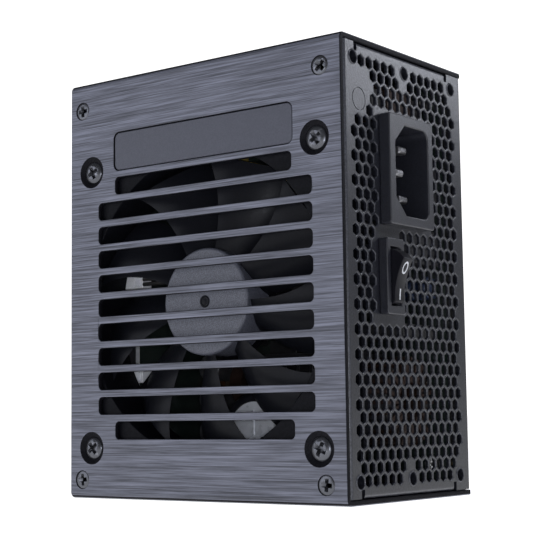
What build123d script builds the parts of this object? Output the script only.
from build123d import *
import math
import os

# Compact modular power supply unit, built as it comes apart on a bench.  Millimetres.
# X is the depth of the case: +X is the mains side, -X is the side of the modular sockets.
# Y is the thickness of the case: -Y is the fan face, +Y is the base plate.
# Z is up as the unit stands on one long side wall; the origin is the centre of that standing face.

# ---- Case -------------------------------------------------------------------------------------
CASE_DEPTH = 100.0
CASE_THICKNESS = 63.5
CASE_LENGTH = 125.0
COVER_SHEET = 1.5
CHASSIS_SHEET = 1.0
SEAM = 0.2
COVER_BEND = 1.8
CHASSIS_BEND = 1.2
INNER_BEND = 0.3

X_REAR = CASE_DEPTH / 2
X_FRONT = -CASE_DEPTH / 2
Y_FAN = -CASE_THICKNESS / 2
Y_BASE = CASE_THICKNESS / 2
Z_MID = CASE_LENGTH / 2
Y_COVER_IN = Y_FAN + COVER_SHEET
Y_BASE_IN = Y_BASE - CHASSIS_SHEET
Y_RIM = Y_COVER_IN + SEAM
Z_CHASSIS_LOW = COVER_SHEET + SEAM
Z_CHASSIS_HIGH = CASE_LENGTH - COVER_SHEET - SEAM
X_REAR_IN = X_REAR - CHASSIS_SHEET
X_FRONT_IN = X_FRONT + CHASSIS_SHEET

# ---- Fan grille, nameplate and screws in the fan face -----------------------------------------
FAN_X = 0.0
FAN_Z = 56.0
FAN_SIZE = 92.0
FAN_DEPTH = 15.0
FAN_HOLE_SPACING = 82.5
FAN_GAP = 0.1
GRILLE_X = 0.9
SLOT_COUNT = 11
SLOT_PITCH = 7.22
SLOT_HEIGHT = 5.0
SLOT_LENGTH = 78.4
END_SLOT_LENGTH = 64.9
SLOT_CORNER = 1.3
NAMEPLATE_LENGTH = 66.0
NAMEPLATE_HEIGHT = 11.5
NAMEPLATE_Z = 102.45
NAMEPLATE_CORNER = 2.0
NAMEPLATE_POCKET = 0.9
NAMEPLATE_THICKNESS = 0.6
NAMEPLATE_CLEARANCE = 0.15
DIMPLE_RADIUS = 4.8
DIMPLE_FLOOR_RADIUS = 2.4
FAN_SCREW_HEAD = 3.3
FAN_SCREW_SHANK = 2.1
FAN_SCREW_LENGTH = 11.0
CASE_SCREW_HEAD = 2.7
CASE_SCREW_SHANK = 1.45
CASE_SCREW_LENGTH = 6.0
CASE_SCREW_REAR_INSET = 6.7
CASE_SCREW_FRONT_INSET = 4.9
CASE_SCREW_SIDE_INSET = 5.45
CASE_SCREW_TOP_INSET = 8.45
SCREW_CLEARANCE = 0.06
RECESS_WIDTH = 1.0

# ---- Rear panel: honeycomb, mounting holes, flanges -------------------------------------------
MOUNT_SPACING_Y = 51.5
MOUNT_SPACING_Z = 113.0
MOUNT_HOLE_RADIUS = 1.75
MOUNT_COLLAR_RADIUS = 2.75
MOUNT_COLLAR_DEPTH = 1.2
HEX_ACROSS_FLATS = 3.0
HEX_PITCH = 3.82
HEX_FAN_MARGIN = 6.25
HEX_BASE_MARGIN = 5.6
HEX_SIDE_MARGIN = 6.2
HEX_TO_MOUNT = 4.0
HEX_TO_STAMP = 5.5
HEX_TO_CUTOUT = 2.2
STAMP_Y = -23.1
STAMP_Z = 107.95
STAMP_RADIUS = 3.2
STAMP_GROOVE = 0.25
PLAIN_LAND = (-27.0, -17.0, 110.0, 117.0)
FLANGE_REACH = 8.0
FLANGE_FAN_END = -23.75
FLANGE_BASE_END = 22.15
NOTCH_WIDTH = 1.5
NOTCH_DEPTH = 2.4
BASE_FLANGE_HEIGHT = 8.0
BASE_FLANGE_INSET = 2.0
TAB_REACH = 13.0
TAB_HIGH_START = 105.0
TAB_LOW_END = 8.7

# ---- Mains inlet -------------------------------------------------------------------------------
INLET_Y = -2.35
INLET_Z = 90.2
INLET_FLANGE_PROUD = 3.5
INLET_CAVITY_WIDTH = 17.0
INLET_CAVITY_HEIGHT = 25.0
INLET_CAVITY_DEPTH = 17.0
INLET_SIDE_MARGIN = 2.75
INLET_END_MARGIN = 2.85
INLET_FLANGE_WIDTH = INLET_CAVITY_WIDTH + 2 * INLET_SIDE_MARGIN
INLET_FLANGE_HEIGHT = INLET_CAVITY_HEIGHT + 2 * INLET_END_MARGIN
INLET_CAVITY_OFFSET = 0.15
INLET_CHAMFER = 5.1
INLET_CORNER = 2.5
INLET_WALL = 1.4
INLET_FLOOR = 2.0
PIN_SPACING = 7.0
PIN_WIDTH = 4.0
PIN_THICKNESS = 2.0
PIN_ROW_OFFSET = 2.0
LINE_PIN_RECESS = 4.0
EARTH_PIN_RECESS = 2.7
PIN_TAIL = 5.0
PANEL_CLEARANCE = 0.15

# ---- Rocker switch -----------------------------------------------------------------------------
SWITCH_Y = -10.6
SWITCH_Z = 60.7
BEZEL_PROUD = 2.8
SWITCH_OPENING_WIDTH = 5.2
SWITCH_OPENING_HEIGHT = 16.1
BEZEL_SIDE_MARGIN = 1.7
BEZEL_END_MARGIN = 2.35
BEZEL_WIDTH = SWITCH_OPENING_WIDTH + 2 * BEZEL_SIDE_MARGIN
BEZEL_HEIGHT = SWITCH_OPENING_HEIGHT + 2 * BEZEL_END_MARGIN
SWITCH_WALL = 1.0
SWITCH_BODY_DEPTH = 12.0
ROCKER_CLEARANCE = 0.3
ROCKER_PIVOT_DEPTH = 2.3
ROCKER_FACE_RISE = 4.95
ROCKER_DISH = 0.8
ROCKER_TILT = 15.0
ROCKER_SKIRT = 2.25
ROCKER_PIN_RADIUS = 1.0
ROCKER_PIN_CLEARANCE = 0.05
TERMINAL_OFFSET = 4.6
TERMINAL_WIDTH = 3.2
TERMINAL_THICKNESS = 0.8
TERMINAL_CLEARANCE = 0.05
TERMINAL_REACH = 6.5
TERMINAL_INSIDE = 1.2

# ---- Boards and sockets ------------------------------------------------------------------------
BOARD_THICKNESS = 1.6
STANDOFF_HEIGHT = 4.0
BOARD_EDGE_GAP = 3.0
SHEET_THICKNESS = 0.4
MODULAR_BOARD_INSET = 8.4
MODULAR_BOARD_X = X_FRONT + MODULAR_BOARD_INSET
MODULAR_BOARD_TO_FAN = 3.0
SOCKET_PITCH = 4.2
SOCKET_WALL = 0.7
SOCKET_CELL = 3.4
SOCKET_PROUD = 2.5
SOCKET_FLOOR = 1.6
SOCKET_CLEARANCE = 0.2
SOCKET_ROW_STEP = 13.0
SOCKET_ROW_START = -5.5
SOCKET_MARGIN_Z = 10.0
SOCKET_PIN_SIZE = 1.1
SOCKET_PIN_RECESS = 2.0


# ---- Small shape helpers -----------------------------------------------------------------------
def block(x0, x1, y0, y1, z0, z1):
    """Box between two corners."""
    return Pos((x0 + x1) / 2, (y0 + y1) / 2, (z0 + z1) / 2) * Box(x1 - x0, y1 - y0, z1 - z0)


def rod_x(y, z, radius, x0, x1):
    """Cylinder along X."""
    return Pos((x0 + x1) / 2, y, z) * Rot(0, 90, 0) * Cylinder(radius, x1 - x0)


def rod_y(x, z, radius, y0, y1):
    """Cylinder along Y."""
    return Pos(x, (y0 + y1) / 2, z) * Rot(-90, 0, 0) * Cylinder(radius, y1 - y0)


def ring_y(x, z, outer, inner, y0, y1):
    """Round tube along Y."""
    return rod_y(x, z, outer, y0, y1) - rod_y(x, z, inner, y0 - 1, y1 + 1)


def cone_y(x, z, r0, r1, y0, y1):
    """Cone along Y with radius r0 at y0 and r1 at y1."""
    return Pos(x, (y0 + y1) / 2, z) * Rot(-90, 0, 0) * Cone(r0, r1, y1 - y0)


def face_plane(y):
    """Sketch plane parallel to the fan face: local x is X, local y is Z."""
    return Plane(origin=(0, y, 0), x_dir=(1, 0, 0), z_dir=(0, -1, 0))


def rear_plane(x):
    """Sketch plane parallel to the rear panel: local x is Y, local y is Z."""
    return Plane(origin=(x, 0, 0), x_dir=(0, 1, 0), z_dir=(1, 0, 0))


def plate_y(outline, y0, y1):
    """Flat plate from y0 to y1 with an outline drawn in X and Z."""
    return extrude(face_plane(y1) * outline, amount=y1 - y0)


def plate_x(outline, x0, x1):
    """Flat plate from x0 to x1 with an outline drawn in Y and Z."""
    return extrude(rear_plane(x0) * outline, amount=x1 - x0)


def edges_at(shape, axis, **place):
    """Edges along an axis whose centre has the given coordinates."""
    found = []
    for edge in shape.edges().filter_by(axis):
        centre = edge.center()
        if all(abs(getattr(centre, name.upper()) - value) < 0.01 for name, value in place.items()):
            found.append(edge)
    return found


def round_edges(shape, radius, axis, low=None, high=None, **place):
    """Fillet the edges found by edges_at, kept to a span along their axis if one is given."""
    name = {Axis.X: "X", Axis.Y: "Y", Axis.Z: "Z"}[axis]
    chosen = []
    for edge in edges_at(shape, axis, **place):
        where = getattr(edge.center(), name)
        if (low is None or where > low) and (high is None or where < high):
            chosen.append(edge)
    return fillet(chosen, radius) if chosen else shape


def group(solids):
    """Several separate solids kept in one node."""
    parts = []
    for solid in solids:
        parts.extend(solid.solids())
    return Compound(children=parts)


def save(name, shape):
    """Write one node."""
    export_step(shape, f"parts/{name}.step")


# ---- Shared positions --------------------------------------------------------------------------
def fan_screw_places():
    """X and Z of the four fan screws."""
    half = FAN_HOLE_SPACING / 2
    return [(FAN_X + sx * half, FAN_Z + sz * half) for sx in (-1, 1) for sz in (-1, 1)]


def case_screw_places():
    """X and Z of the four screws that hold the cover to the chassis."""
    columns = (X_FRONT + CASE_SCREW_FRONT_INSET, X_REAR - CASE_SCREW_REAR_INSET)
    rows = (CASE_SCREW_SIDE_INSET, CASE_LENGTH - CASE_SCREW_TOP_INSET)
    return [(x, z) for x in columns for z in rows]


def mount_places():
    """Y and Z of the six mounting holes in the rear panel."""
    columns = (-MOUNT_SPACING_Y / 2, 0.0, MOUNT_SPACING_Y / 2)
    rows = (Z_MID - MOUNT_SPACING_Z / 2, Z_MID + MOUNT_SPACING_Z / 2)
    return [(y, z) for y in columns for z in rows]


def socket_places():
    """Name, columns, Y and Z of every modular socket: three rows on the modular panel."""
    rows = [
        [("socket_18_pin", 9), ("socket_10_pin", 5), ("socket_6_pin_1", 3)],
        [("socket_8_pin_1", 4), ("socket_8_pin_2", 4), ("socket_8_pin_3", 4), ("socket_8_pin_4", 4)],
        [("socket_6_pin_2", 3), ("socket_6_pin_3", 3), ("socket_12_pin", 6)],
    ]
    span = CASE_LENGTH - 2 * SOCKET_MARGIN_Z
    places = []
    for row_index, row in enumerate(rows):
        y = SOCKET_ROW_START + row_index * SOCKET_ROW_STEP
        used = sum(socket_length(columns) for _, columns in row)
        gap = (span - used) / (len(row) - 1)
        z = SOCKET_MARGIN_Z
        for name, columns in row:
            length = socket_length(columns)
            places.append((name, columns, y, z + length / 2))
            z += length + gap
    return places


def socket_length(columns):
    """Outer length of a two-row socket."""
    return columns * SOCKET_PITCH + 2 * SOCKET_WALL


SOCKET_WIDTH = 2 * SOCKET_PITCH + 2 * SOCKET_WALL
BOARD_Y1 = Y_BASE_IN - STANDOFF_HEIGHT
BOARD_Y0 = BOARD_Y1 - BOARD_THICKNESS
FAN_Y0 = Y_COVER_IN + FAN_GAP
FAN_Y1 = FAN_Y0 + FAN_DEPTH


# ---- Casing ------------------------------------------------------------------------------------
def make_fan_cover():
    """U-shaped aluminium cover: slotted fan face and the two long side walls."""
    shell = block(X_FRONT, X_REAR, Y_FAN, Y_BASE, 0, CASE_LENGTH)
    shell -= block(X_FRONT - 1, X_REAR + 1, Y_COVER_IN, Y_BASE + 1, COVER_SHEET, CASE_LENGTH - COVER_SHEET)
    outer_bends = edges_at(shell, Axis.X, y=Y_FAN)
    shell = fillet(outer_bends, COVER_BEND)
    inner_bends = edges_at(shell, Axis.X, y=Y_COVER_IN)
    shell = fillet(inner_bends, INNER_BEND)

    cuts = []
    for index in range(SLOT_COUNT):
        z = FAN_Z + (index - (SLOT_COUNT - 1) / 2) * SLOT_PITCH
        length = END_SLOT_LENGTH if index in (0, SLOT_COUNT - 1) else SLOT_LENGTH
        outline = Pos(GRILLE_X, z) * RectangleRounded(length, SLOT_HEIGHT, SLOT_CORNER)
        cuts.append(plate_y(outline, Y_FAN - 1, Y_COVER_IN + 1))
    pocket = RectangleRounded(NAMEPLATE_LENGTH, NAMEPLATE_HEIGHT, NAMEPLATE_CORNER)
    cuts.append(plate_y(Pos(GRILLE_X, NAMEPLATE_Z) * pocket, Y_FAN - 1, Y_FAN + NAMEPLATE_POCKET))
    for x, z in fan_screw_places():
        cuts.append(cone_y(x, z, DIMPLE_RADIUS, DIMPLE_FLOOR_RADIUS, Y_FAN, Y_COVER_IN))
    for x, z in case_screw_places():
        cuts.append(case_screw_cone(x, z, SCREW_CLEARANCE))
        cuts.append(rod_y(x, z, CASE_SCREW_SHANK + SCREW_CLEARANCE, Y_FAN, Y_COVER_IN + 1))
    return shell - cuts


def case_screw_cone(x, z, clearance):
    """Countersunk head of a case screw, or its seat when a clearance is given."""
    depth = CASE_SCREW_HEAD - CASE_SCREW_SHANK
    return cone_y(x, z, CASE_SCREW_HEAD + clearance, CASE_SCREW_SHANK + clearance, Y_FAN, Y_FAN + depth)


def make_nameplate():
    """Blank smooth plate that sits in the shallow pocket above the slots."""
    gap = 2 * NAMEPLATE_CLEARANCE
    outline = RectangleRounded(
        NAMEPLATE_LENGTH - gap, NAMEPLATE_HEIGHT - gap, NAMEPLATE_CORNER - NAMEPLATE_CLEARANCE
    )
    back = Y_FAN + NAMEPLATE_POCKET
    return plate_y(Pos(GRILLE_X, NAMEPLATE_Z) * outline, back - NAMEPLATE_THICKNESS, back)


def hex_places():
    """Y and Z of every hexagonal vent hole that the rear panel leaves open."""
    row_pitch = HEX_PITCH * math.sqrt(3) / 2
    rows = int((Z_MID - HEX_SIDE_MARGIN) / row_pitch)
    places = []
    for row in range(-rows, rows + 1):
        z = Z_MID + row * row_pitch
        shift = HEX_PITCH / 2 if row % 2 == 0 else 0
        y = Y_FAN + HEX_FAN_MARGIN + shift
        while y <= Y_BASE - HEX_BASE_MARGIN + 0.01:
            if hex_is_open(y, z):
                places.append((y, z))
            y += HEX_PITCH
    return places


def inside(y, z, centre_y, centre_z, width, height, margin):
    """Whether a point is within a margin of an upright rectangle."""
    return abs(y - centre_y) < width / 2 + margin and abs(z - centre_z) < height / 2 + margin


def hex_is_open(y, z):
    """Whether a vent hole may be cut here."""
    if any(math.hypot(y - my, z - mz) < HEX_TO_MOUNT for my, mz in mount_places()):
        return False
    if math.hypot(y - STAMP_Y, z - STAMP_Z) < HEX_TO_STAMP:
        return False
    y0, y1, z0, z1 = PLAIN_LAND
    if y0 < y < y1 and z0 < z < z1:
        return False
    if inside(y, z, INLET_Y, INLET_Z, INLET_FLANGE_WIDTH, INLET_FLANGE_HEIGHT, HEX_TO_CUTOUT):
        return False
    if inside(y, z, SWITCH_Y, SWITCH_Z, BEZEL_WIDTH, BEZEL_HEIGHT, HEX_TO_CUTOUT):
        return False
    bridge_low = SWITCH_Z + BEZEL_HEIGHT / 2
    bridge_high = INLET_Z - INLET_FLANGE_HEIGHT / 2
    bridge = abs(y - SWITCH_Y) < BEZEL_WIDTH / 2 + HEX_TO_CUTOUT and bridge_low < z < bridge_high
    return not bridge


def make_chassis():
    """Folded steel tray: base plate, honeycomb rear panel, socket panel, flanges and screw tabs."""
    sheet = CHASSIS_SHEET
    tray = block(X_FRONT, X_REAR, Y_BASE_IN, Y_BASE, Z_CHASSIS_LOW, Z_CHASSIS_HIGH)
    tray += block(X_REAR_IN, X_REAR, Y_RIM, Y_BASE, Z_CHASSIS_LOW, Z_CHASSIS_HIGH)
    tray += block(X_FRONT, X_FRONT_IN, Y_RIM, Y_BASE, Z_CHASSIS_LOW, Z_CHASSIS_HIGH)

    sides = ((Z_CHASSIS_LOW, Z_CHASSIS_LOW + sheet), (Z_CHASSIS_HIGH - sheet, Z_CHASSIS_HIGH))
    for z0, z1 in sides:
        tray += block(X_FRONT + BASE_FLANGE_INSET, X_REAR - BASE_FLANGE_INSET,
                      Y_BASE - BASE_FLANGE_HEIGHT, Y_BASE, z0, z1)
        tray += block(X_REAR - FLANGE_REACH, X_REAR, FLANGE_FAN_END, FLANGE_BASE_END, z0, z1)
        tray += block(X_FRONT, X_FRONT + FLANGE_REACH, FLANGE_FAN_END, FLANGE_BASE_END, z0, z1)
    tab_spans = (
        (Z_CHASSIS_LOW + sheet, TAB_LOW_END),
        (TAB_HIGH_START, Z_CHASSIS_HIGH - sheet),
    )
    for z0, z1 in tab_spans:
        tray += block(X_REAR - TAB_REACH, X_REAR, Y_RIM, Y_RIM + sheet, z0, z1)
        tray += block(X_FRONT, X_FRONT + TAB_REACH, Y_RIM, Y_RIM + sheet, z0, z1)

    notches = []
    for x0, x1 in ((X_REAR - FLANGE_REACH, X_REAR + 1), (X_FRONT - 1, X_FRONT + FLANGE_REACH)):
        for y0, y1 in ((FLANGE_FAN_END - NOTCH_WIDTH, FLANGE_FAN_END),
                       (FLANGE_BASE_END, FLANGE_BASE_END + NOTCH_WIDTH)):
            notches.append(block(x0, x1, y0, y1, Z_CHASSIS_HIGH - NOTCH_DEPTH, CASE_LENGTH))
            notches.append(block(x0, x1, y0, y1, 0, Z_CHASSIS_LOW + NOTCH_DEPTH))
    tray -= notches

    for x in (X_FRONT, X_REAR):
        for z in (Z_CHASSIS_LOW, Z_CHASSIS_HIGH):
            tray = round_edges(tray, CHASSIS_BEND, Axis.Y, FLANGE_FAN_END, FLANGE_BASE_END, x=x, z=z)
        tray = round_edges(tray, CHASSIS_BEND, Axis.Z, x=x, y=Y_BASE)
        tray = round_edges(tray, CHASSIS_BEND * 0.75, Axis.Z, x=x, y=Y_RIM)
    tray -= chassis_openings()
    tray += mount_collars()
    return tray


def chassis_openings():
    """Everything that is punched out of the chassis."""
    cuts = []
    hexagon = RegularPolygon(HEX_ACROSS_FLATS / 2, 6, major_radius=False, rotation=90)
    for y, z in hex_places():
        cuts.append(plate_x(Pos(y, z) * hexagon, X_REAR_IN - 0.5, X_REAR + 0.5))
    for y, z in mount_places():
        cuts.append(rod_x(y, z, MOUNT_HOLE_RADIUS, X_REAR_IN - 0.5, X_REAR + 0.5))
    groove = rod_x(STAMP_Y, STAMP_Z, STAMP_RADIUS, X_REAR - STAMP_GROOVE, X_REAR + 1)
    cuts.append(groove - rod_x(STAMP_Y, STAMP_Z, STAMP_RADIUS - STAMP_GROOVE, X_REAR - 1, X_REAR + 2))
    gap = PANEL_CLEARANCE
    cuts.append(inlet_body_block(gap, X_REAR_IN - 1, X_REAR + 1))
    cuts.append(switch_body_block(gap, X_REAR_IN - 1, X_REAR + 1))
    for _, columns, y, z in socket_places():
        width = SOCKET_WIDTH / 2 + SOCKET_CLEARANCE
        length = socket_length(columns) / 2 + SOCKET_CLEARANCE
        cuts.append(block(X_FRONT - 1, X_FRONT_IN + 1, y - width, y + width, z - length, z + length))
    for x, z in case_screw_places():
        cuts.append(rod_y(x, z, CASE_SCREW_SHANK + SCREW_CLEARANCE, Y_RIM - 1, Y_RIM + CHASSIS_SHEET + 1))
    for x, z in standoff_places():
        cuts.append(rod_y(x, z, STANDOFF_STEM + SCREW_CLEARANCE, Y_BASE_IN - 1, Y_BASE + 1))
    return cuts


def mount_collars():
    """Short drawn collars behind the mounting holes that carry their thread."""
    collars = []
    for y, z in mount_places():
        collar = rod_x(y, z, MOUNT_COLLAR_RADIUS, X_REAR_IN - MOUNT_COLLAR_DEPTH, X_REAR_IN)
        collars.append(collar - rod_x(y, z, MOUNT_HOLE_RADIUS, X_REAR_IN - 5, X_REAR_IN + 1))
    return collars


def cross_recess(x, z, y, reach, depth):
    """Cross-shaped driver recess that goes from y into the head."""
    bar = block(x - reach, x + reach, y - 1, y + depth, z - RECESS_WIDTH / 2, z + RECESS_WIDTH / 2)
    return bar + block(x - RECESS_WIDTH / 2, x + RECESS_WIDTH / 2, y - 1, y + depth, z - reach, z + reach)


def make_case_screw(x, z):
    """Countersunk screw that joins cover and chassis tab."""
    screw = case_screw_cone(x, z, 0)
    screw += rod_y(x, z, CASE_SCREW_SHANK, Y_FAN + 0.5, Y_FAN + CASE_SCREW_LENGTH)
    return screw - cross_recess(x, z, Y_FAN, CASE_SCREW_HEAD * 0.62, 0.9)


def make_fan_screw(x, z):
    """Raised countersunk screw in the dimple of the cover, cut into the corner hole of the fan."""
    slope = (DIMPLE_RADIUS - DIMPLE_FLOOR_RADIUS) / COVER_SHEET
    head = FAN_SCREW_HEAD - SCREW_CLEARANCE
    rim_y = Y_FAN + (DIMPLE_RADIUS - FAN_SCREW_HEAD) / slope
    seat = cone_y(x, z, head, DIMPLE_FLOOR_RADIUS - SCREW_CLEARANCE, rim_y, Y_COVER_IN)
    dome_y = rim_y - 0.75
    dome = cone_y(x, z, head * 0.72, head, dome_y, rim_y)
    shank = rod_y(x, z, FAN_SCREW_SHANK, rim_y, rim_y + FAN_SCREW_LENGTH)
    return dome + seat + shank - cross_recess(x, z, dome_y, FAN_SCREW_HEAD * 0.55, 1.3)


# ---- Mains inlet -------------------------------------------------------------------------------
X_INLET_FACE = X_REAR + INLET_FLANGE_PROUD
X_INLET_FLOOR = X_INLET_FACE - INLET_CAVITY_DEPTH
X_INLET_BACK = X_INLET_FLOOR - INLET_FLOOR


def inlet_body_block(gap, x0, x1):
    """Rectangular body of the inlet behind its flange, grown by a gap."""
    half_width = INLET_CAVITY_WIDTH / 2 + INLET_WALL + gap
    half_height = INLET_CAVITY_HEIGHT / 2 + INLET_WALL + gap
    y = INLET_Y + INLET_CAVITY_OFFSET
    return block(x0, x1, y - half_width, y + half_width, INLET_Z - half_height, INLET_Z + half_height)


def inlet_cavity_outline():
    """Opening of the inlet: two chamfered corners beside the earth pin, two round ones opposite."""
    y0 = INLET_Y + INLET_CAVITY_OFFSET - INLET_CAVITY_WIDTH / 2
    y1 = y0 + INLET_CAVITY_WIDTH
    z0 = INLET_Z - INLET_CAVITY_HEIGHT / 2
    z1 = INLET_Z + INLET_CAVITY_HEIGHT / 2
    outline = Polygon(
        (y0, z0 + INLET_CHAMFER),
        (y0 + INLET_CHAMFER, z0),
        (y1, z0),
        (y1, z1),
        (y0 + INLET_CHAMFER, z1),
        (y0, z1 - INLET_CHAMFER),
        align=None,
    )
    corners = [vertex for vertex in outline.vertices() if vertex.X > y1 - 0.01]
    return fillet(corners, INLET_CORNER)


def pin_places():
    """Y, Z and tip X of line, earth and neutral pins."""
    centre_y = INLET_Y + INLET_CAVITY_OFFSET
    line_x = X_INLET_FACE - LINE_PIN_RECESS
    earth_x = X_INLET_FACE - EARTH_PIN_RECESS
    return [
        (centre_y + PIN_ROW_OFFSET, INLET_Z + PIN_SPACING, line_x),
        (centre_y - PIN_ROW_OFFSET, INLET_Z, earth_x),
        (centre_y + PIN_ROW_OFFSET, INLET_Z - PIN_SPACING, line_x),
    ]


def make_inlet_housing():
    """Moulded three-pole inlet body with its flange outside the panel."""
    flange = block(X_REAR + 0.05, X_INLET_FACE,
                   INLET_Y - INLET_FLANGE_WIDTH / 2, INLET_Y + INLET_FLANGE_WIDTH / 2,
                   INLET_Z - INLET_FLANGE_HEIGHT / 2, INLET_Z + INLET_FLANGE_HEIGHT / 2)
    flange = fillet(flange.edges().filter_by(Axis.X), 0.8)
    body = flange + inlet_body_block(0, X_INLET_BACK, X_REAR + 0.1)
    cuts = [plate_x(inlet_cavity_outline(), X_INLET_FLOOR, X_INLET_FACE + 1)]
    half_width = PIN_WIDTH / 2 + 0.02
    half_thickness = PIN_THICKNESS / 2 + 0.02
    for y, z, _ in pin_places():
        cuts.append(block(X_INLET_BACK - 1, X_INLET_FLOOR + 1, y - half_width, y + half_width,
                          z - half_thickness, z + half_thickness))
    return body - cuts


def make_inlet_pin(y, z, tip_x):
    """Flat contact blade with a bevelled tip and a narrower solder tail."""
    blade = block(X_INLET_BACK - 1, tip_x, y - PIN_WIDTH / 2, y + PIN_WIDTH / 2,
                  z - PIN_THICKNESS / 2, z + PIN_THICKNESS / 2)
    blade = chamfer(blade.faces().sort_by(Axis.X)[-1].edges(), 0.5)
    tail_x = X_INLET_BACK - PIN_TAIL
    return blade + block(tail_x, X_INLET_BACK - 0.5, y - PIN_WIDTH / 2, y + PIN_WIDTH / 2, z - 0.4, z + 0.4)


# ---- Rocker switch -----------------------------------------------------------------------------
X_BEZEL = X_REAR + BEZEL_PROUD
X_PIVOT = X_BEZEL - ROCKER_PIVOT_DEPTH
X_SWITCH_BACK = X_REAR_IN - SWITCH_BODY_DEPTH
ROCKER_RADIUS = SWITCH_OPENING_HEIGHT / 2 - ROCKER_CLEARANCE
ROCKER_HALF_WIDTH = SWITCH_OPENING_WIDTH / 2 - ROCKER_CLEARANCE


def switch_body_block(gap, x0, x1):
    """Rectangular body of the switch behind its bezel, grown by a gap."""
    half_width = SWITCH_OPENING_WIDTH / 2 + SWITCH_WALL + gap
    half_height = SWITCH_OPENING_HEIGHT / 2 + SWITCH_WALL + gap
    return block(x0, x1, SWITCH_Y - half_width, SWITCH_Y + half_width,
                 SWITCH_Z - half_height, SWITCH_Z + half_height)


def make_switch_body():
    """Bezel and housing of the rocker switch, open at the front."""
    bezel = block(X_REAR + 0.05, X_BEZEL, SWITCH_Y - BEZEL_WIDTH / 2, SWITCH_Y + BEZEL_WIDTH / 2,
                  SWITCH_Z - BEZEL_HEIGHT / 2, SWITCH_Z + BEZEL_HEIGHT / 2)
    bezel = fillet(bezel.edges().filter_by(Axis.X), 0.6)
    body = bezel + switch_body_block(0, X_SWITCH_BACK, X_REAR + 0.1)
    half_width = SWITCH_OPENING_WIDTH / 2
    half_height = SWITCH_OPENING_HEIGHT / 2
    cavity = block(X_SWITCH_BACK + SWITCH_WALL, X_BEZEL + 1, SWITCH_Y - half_width, SWITCH_Y + half_width,
                   SWITCH_Z - half_height, SWITCH_Z + half_height)
    sockets = []
    for side in (-1, 1):
        y0 = SWITCH_Y + side * (half_width - 0.1)
        y1 = SWITCH_Y + side * (half_width + SWITCH_WALL * 0.7)
        pivot_hole = Pos(X_PIVOT, (y0 + y1) / 2, SWITCH_Z) * Rot(90, 0, 0)
        sockets.append(pivot_hole * Cylinder(ROCKER_PIN_RADIUS + ROCKER_PIN_CLEARANCE, abs(y1 - y0)))
    half_blade = TERMINAL_WIDTH / 2 + TERMINAL_CLEARANCE
    half_slot = TERMINAL_THICKNESS / 2 + TERMINAL_CLEARANCE
    slots = [block(X_SWITCH_BACK - 1, X_SWITCH_BACK + SWITCH_WALL + 1, SWITCH_Y - half_blade, SWITCH_Y + half_blade,
                   z - half_slot, z + half_slot) for z in terminal_levels()]
    return body - [cavity] - sockets - slots


def terminal_levels():
    """Z of the two switch terminals."""
    return (SWITCH_Z - TERMINAL_OFFSET, SWITCH_Z + TERMINAL_OFFSET)


def rocker_point(x, z):
    """Turn a point of the level rocker, given from its pivot, into the switched-on position."""
    angle = math.radians(ROCKER_TILT)
    turned_x = x * math.cos(angle) + z * math.sin(angle)
    turned_z = z * math.cos(angle) - x * math.sin(angle)
    return (X_PIVOT + turned_x, SWITCH_Z + turned_z)


def make_rocker():
    """Rocker with a dished face, end faces turned about the pivot, and its two pivot pins."""
    half_face = math.sqrt(ROCKER_RADIUS ** 2 - ROCKER_FACE_RISE ** 2)
    half_skirt = math.sqrt(ROCKER_RADIUS ** 2 - ROCKER_SKIRT ** 2)
    top = rocker_point(ROCKER_FACE_RISE, half_face)
    dish = rocker_point(ROCKER_FACE_RISE - ROCKER_DISH, 0)
    bottom = rocker_point(ROCKER_FACE_RISE, -half_face)
    low_end = rocker_point(0, -ROCKER_RADIUS)
    low_corner = rocker_point(-ROCKER_SKIRT, -half_skirt)
    high_corner = rocker_point(-ROCKER_SKIRT, half_skirt)
    high_end = rocker_point(0, ROCKER_RADIUS)
    face = ThreePointArc(top, dish, bottom)
    low_arc = ThreePointArc(bottom, low_end, low_corner)
    inside_line = Line(low_corner, high_corner)
    high_arc = ThreePointArc(high_corner, high_end, top)
    outline = make_face([face, low_arc, inside_line, high_arc])
    side = Plane(origin=(0, SWITCH_Y + ROCKER_HALF_WIDTH, 0), x_dir=(1, 0, 0), z_dir=(0, -1, 0))
    rocker = extrude(side * outline, amount=2 * ROCKER_HALF_WIDTH)
    reach = SWITCH_OPENING_WIDTH / 2 + SWITCH_WALL * 0.6
    return rocker + rod_y(X_PIVOT, SWITCH_Z, ROCKER_PIN_RADIUS, SWITCH_Y - reach, SWITCH_Y + reach)


def make_switch_terminal(z):
    """Flat terminal through the back of the switch."""
    half_width = TERMINAL_WIDTH / 2
    half_thickness = TERMINAL_THICKNESS / 2
    return block(X_SWITCH_BACK - TERMINAL_REACH, X_SWITCH_BACK + SWITCH_WALL + TERMINAL_INSIDE,
                 SWITCH_Y - half_width, SWITCH_Y + half_width, z - half_thickness, z + half_thickness)


# ---- Fan ---------------------------------------------------------------------------------------
DUCT_WALL_AT_SIDE = 2.5
FAN_WALL = 1.3
FAN_FLANGE = 2.6
FAN_CORNER = 5.0
FAN_HOLE_RADIUS = 2.16
BLADE_COUNT = 9
BLADE_TIP_CLEARANCE = 0.9
BLADE_THICKNESS = 1.3
BLADE_START_ANGLE = -0.7
BLADE_FRONT_RECESS = 3.15
BLADE_REAR_RECESS = 3.45
HUB_RADIUS = 15.3
HUB_FRONT_RECESS = 1.75
HUB_REAR_RECESS = 3.25
HUB_WALL = 1.2
HUB_BOSS_RADIUS = 3.2
MAGNET_THICKNESS = 1.6
SHAFT_RADIUS = 1.5
SHAFT_CLEARANCE = 0.04
BEARING_WALL = 1.6
BEARING_TUBE_WALL = 1.2
STATOR_RADIUS = 11.2
STATOR_TEETH = 4
STRUT_COUNT = 4
STRUT_WIDTH = 3.0
MOTOR_PLATE_THICKNESS = 1.8

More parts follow.
